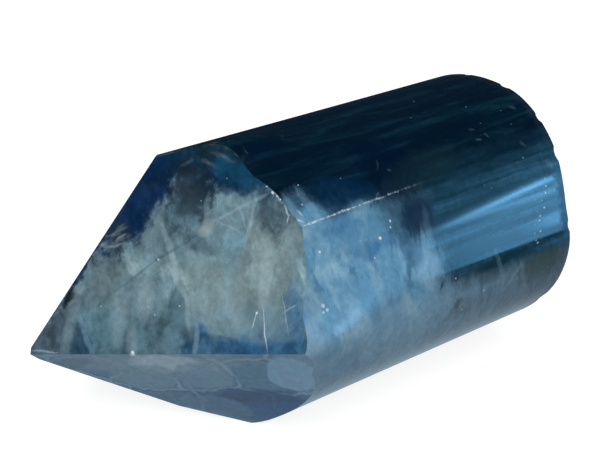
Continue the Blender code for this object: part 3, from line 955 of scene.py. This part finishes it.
def for_rays(kind, others_see, they_see, on):
    """Shows one thing to one kind of ray and another to all the rest."""
    is_one = node("ShaderNodeLightPath", {}, on).outputs[kind]
    return node("ShaderNodeMixShader", {0: is_one, 1: others_see, 2: they_see}, on).outputs[0]


def paper(name):
    """White paper: even to the eye, plainer in bounced light, and darker far from the tip."""
    material = bpy.data.materials.new(name)
    material.use_nodes = True
    material.cycles.emission_sampling = "NONE"
    sheet = material.node_tree
    sheet.nodes.clear()
    glow = node("ShaderNodeEmission", {"Strength": PAPER_GLOW}, sheet).outputs[0]
    shadow = node("ShaderNodeBsdfDiffuse", {"Color": PAPER_SHADOW}, sheet).outputs[0]
    seen = node("ShaderNodeAddShader", {0: glow, 1: shadow}, sheet).outputs[0]
    bounced = node("ShaderNodeBsdfDiffuse", {"Color": PAPER_BOUNCE}, sheet).outputs[0]
    place = node("ShaderNodeTexCoord", {}, sheet).outputs["Object"]
    run = split(place, sheet)[0]
    shine = fade(run, CARD_BRIGHT_TO, CARD_DARK_FROM, PAPER_IN_POLISH, 0.0, sheet)
    mirrored = node("ShaderNodeEmission", {"Color": PAPER_TINT, "Strength": shine}, sheet)
    unseen = for_rays("Is Glossy Ray", bounced, mirrored.outputs[0], sheet)
    surface = for_rays("Is Camera Ray", unseen, seen, sheet)
    node("ShaderNodeOutputMaterial", {"Surface": surface}, sheet)
    return material


def flat_sheet(name, low_corner, high_corner, height, material):
    """One flat rectangle, level with the table."""
    (x0, y0), (x1, y1) = low_corner, high_corner
    corners = ((x0, y0, height), (x1, y0, height), (x1, y1, height), (x0, y1, height))
    mesh = bpy.data.meshes.new(name)
    mesh.from_pydata(corners, [], [(0, 1, 2, 3)])
    sheet = bpy.data.objects.new(name, mesh)
    bpy.context.collection.objects.link(sheet)
    mesh.materials.append(material)
    return sheet


white_paper = paper("white_paper")
flat_sheet("card", CARD_LOW, CARD_HIGH, 0.0, white_paper)
table_low, table_high = (-TABLE_HALF, -TABLE_HALF), (TABLE_HALF, TABLE_HALF)
table = flat_sheet("table", table_low, table_high, -TABLE_DROP, white_paper)
table.visible_glossy = False


# ---- The studio light -----------------------------------------------------------------------
# A wide soft light hangs over the stone. A tall soft window stands to the right of the camera:
# its bright bar shows as a streak on the polish, and what is under the bar as a band.


LIGHT_AIM = Vector((0.0, 0.0, 0.02))
# Name, place, width and power.
SOFT_LIGHTS = (
    ("overhead_key", Vector((-0.15, -0.25, 0.9)), 0.9, 14.0),
    ("rear_fill", Vector((0.60, 0.50, 0.35)), 0.6, 1.7),
)


def soft_light(name, place, size, power):
    """A square soft light that looks at the stone; it isn't mirrored in the polish."""
    data = bpy.data.lights.new(name, "AREA")
    data.shape = "SQUARE"
    data.size = size
    data.energy = power
    light = bpy.data.objects.new(name, data)
    light.location = place
    light.rotation_euler = (LIGHT_AIM - place).to_track_quat("-Z", "Y").to_euler()
    bpy.context.collection.objects.link(light)
    light.visible_camera = False
    light.visible_glossy = False


for soft_box in SOFT_LIGHTS:
    soft_light(*soft_box)

# The window stands round the column as a part of a ring, drawn in degrees of compass heading
# and elevation as the column sees it. A dimmer one at the back gives that side its gloss.
COLUMN_AT = Vector((0.025, -0.0166, 0.029))
WINDOW_AWAY = 0.6
WINDOW_STEP = 3.0
LEAN_FROM = 39.0
WINDOW_COLOUR = (0.190, 0.565, 1.0, 1.0)
# Elevation in degrees, then how bright the window is there, from its foot up.
BAND_GLOW = (
    (3.6, 0.0),
    (6.2, 4.4),
    (8.4, 4.2),
    (10.0, 5.2),
    (11.4, 4.4),
    (14.0, 3.6),
    (17.0, 2.4),
    (20.0, 0.9),
    (28.0, 0.5),
    (44.0, 0.0),
)
BAR_GLOW = (
    (13.2, 0.0),
    (14.6, 4.2),
    (15.4, 10.2),
    (16.2, 12.2),
    (17.0, 8.6),
    (18.4, 2.2),
    (22.0, 0.0),
)
SILL_GLOW = ((9.6, 0.0), (11.2, 2.6), (12.2, 4.8), (13.0, 2.4), (14.4, 0.0))
REAR_GLOW = ((14.0, 0.0), (20.0, 1.2), (30.0, 1.6), (36.0, 4.5), (39.0, 1.2), (52.0, 0.0))


def window_point(heading, elevation):
    """A point of the window's ring."""
    turn, rise = math.radians(heading), math.radians(elevation)
    level = Vector((math.sin(turn), -math.cos(turn), 0.0)) * math.cos(rise)
    return COLUMN_AT + (level + Vector((0.0, 0.0, math.sin(rise)))) * WINDOW_AWAY


def build_window(name, headings, elevations):
    """A window as a grid of small panes, with heading and elevation kept on its corners."""
    heading_count = round((headings[1] - headings[0]) / WINDOW_STEP)
    elevation_count = round((elevations[1] - elevations[0]) / WINDOW_STEP)
    places = [
        (headings[0] + column * WINDOW_STEP, elevations[0] + row * WINDOW_STEP)
        for row in range(elevation_count + 1)
        for column in range(heading_count + 1)
    ]
    width = heading_count + 1
    panes = [
        (first, first + 1, first + 1 + width, first + width)
        for row in range(elevation_count)
        for first in range(row * width, row * width + heading_count)
    ]
    mesh = bpy.data.meshes.new(name)
    mesh.from_pydata([window_point(*place) for place in places], [], panes)
    seen_at = mesh.attributes.new("seen_at", "FLOAT_VECTOR", "POINT")
    for corner, (heading, elevation) in zip(seen_at.data, places):
        corner.vector = (heading, elevation, 0.0)
    window = bpy.data.objects.new(name, mesh)
    bpy.context.collection.objects.link(window)
    mesh.materials.append(bpy.data.materials.new(name + "_light"))
    window.visible_camera = False
    window.visible_diffuse = False
    window.visible_shadow = False
    window.visible_transmission = False
    return mesh.materials[0]


def glow_curve(elevation, glows, shine):
    """The brightness at an elevation, along one list of glows."""
    low, high = glows[0][0], glows[-1][0]
    peak = max(glow for _elevation, glow in glows)
    span = {"Value": elevation, "From Min": low, "From Max": high}
    spread = node("ShaderNodeMapRange", span, shine).outputs[0]
    curve = node("ShaderNodeFloatCurve", {"Value": spread}, shine)
    line = curve.mapping.curves[0]
    line.points[0].location = (0.0, glows[0][1] / peak)
    line.points[-1].location = (1.0, glows[-1][1] / peak)
    for place, glow in glows[1:-1]:
        line.points.new((place - low) / (high - low), glow / peak)
    curve.mapping.update()
    return times(curve.outputs[0], peak, on=shine)


def light_window(material, layers):
    """Soft light in layers: glows, how far they lean per degree of heading, fade in, fade out."""
    material.use_nodes = True
    material.cycles.emission_sampling = "NONE"
    shine = material.node_tree
    shine.nodes.clear()
    seen_at = node("ShaderNodeAttribute", {}, shine, attribute_name="seen_at").outputs["Vector"]
    heading, elevation, _flat = split(seen_at, shine)
    total = 0.0
    for glows, lean, fade_in, fade_out in layers:
        leaning = calc("MULTIPLY_ADD", heading, lean, elevation, shine)
        level = calc("SUBTRACT", leaning, lean * LEAN_FROM, on=shine)
        layer = glow_curve(level, glows, shine)
        for start, end in (fade_in, fade_out):
            layer = times(fade(heading, start, end, on=shine), layer, on=shine)
        total = calc("ADD", total, layer, on=shine)
    light = node("ShaderNodeEmission", {"Color": WINDOW_COLOUR, "Strength": total}, shine)
    node("ShaderNodeOutputMaterial", {"Surface": light.outputs[0]}, shine)


SIDE_LAYERS = (
    (BAND_GLOW, 0.0, (26.0, 37.0), (78.0, 62.0)),
    (BAR_GLOW, 0.0, (31.0, 40.5), (43.2, 42.0)),
    (SILL_GLOW, 0.8, (33.0, 38.5), (43.2, 42.0)),
)
REAR_LAYERS = ((REAR_GLOW, 0.0, (160.0, 178.0), (270.0, 250.0)),)
side_light = build_window("side_window", headings=(20.0, 80.0), elevations=(-2.0, 46.0))
light_window(side_light, SIDE_LAYERS)
rear_light = build_window("rear_window", headings=(157.0, 271.0), elevations=(12.0, 54.0))
light_window(rear_light, REAR_LAYERS)

# The room is dim and bluish to the stone, and white to the eye.
DIM_ROOM = (0.010, 0.018, 0.030, 1.0)
WHITE_ROOM = (1.0, 1.0, 1.0, 1.0)
world = bpy.data.worlds.new("studio")
bpy.context.scene.world = world
world.use_nodes = True
room = world.node_tree
dim = room.nodes["Background"]
dim.inputs["Color"].default_value = DIM_ROOM
white = node("ShaderNodeBackground", {"Color": WHITE_ROOM}, room)
either = for_rays("Is Camera Ray", dim.outputs[0], white.outputs[0], room)
room.links.new(either, room.nodes["World Output"].inputs["Surface"])


# ---- The camera -----------------------------------------------------------------------------
# It stands close in front, to the left of the tip, and looks down along the column. Colours
# are shown plainly, and light is followed through few turns, since little of it gets through.

CAMERA_AT = Vector((-59.5 * MM, -102.33 * MM, 103.79 * MM))
CAMERA_PITCH = 33.56
CAMERA_TURN = -31.135
LENS = 60.0
SENSOR = 36.0
NEAREST = 1.0 * MM
camera_data = bpy.data.cameras.new("camera")
camera_data.lens = LENS
camera_data.sensor_width = SENSOR
camera_data.clip_start = NEAREST
camera = bpy.data.objects.new("camera", camera_data)
camera.location = CAMERA_AT
camera.rotation_euler = (math.radians(90.0 - CAMERA_PITCH), 0.0, math.radians(CAMERA_TURN))
bpy.context.collection.objects.link(camera)

scene = bpy.context.scene
scene.camera = camera
scene.view_settings.view_transform = "Standard"
scene.cycles.use_denoising = True
scene.cycles.max_bounces = 4
scene.cycles.transmission_bounces = 3
scene.cycles.diffuse_bounces = 2
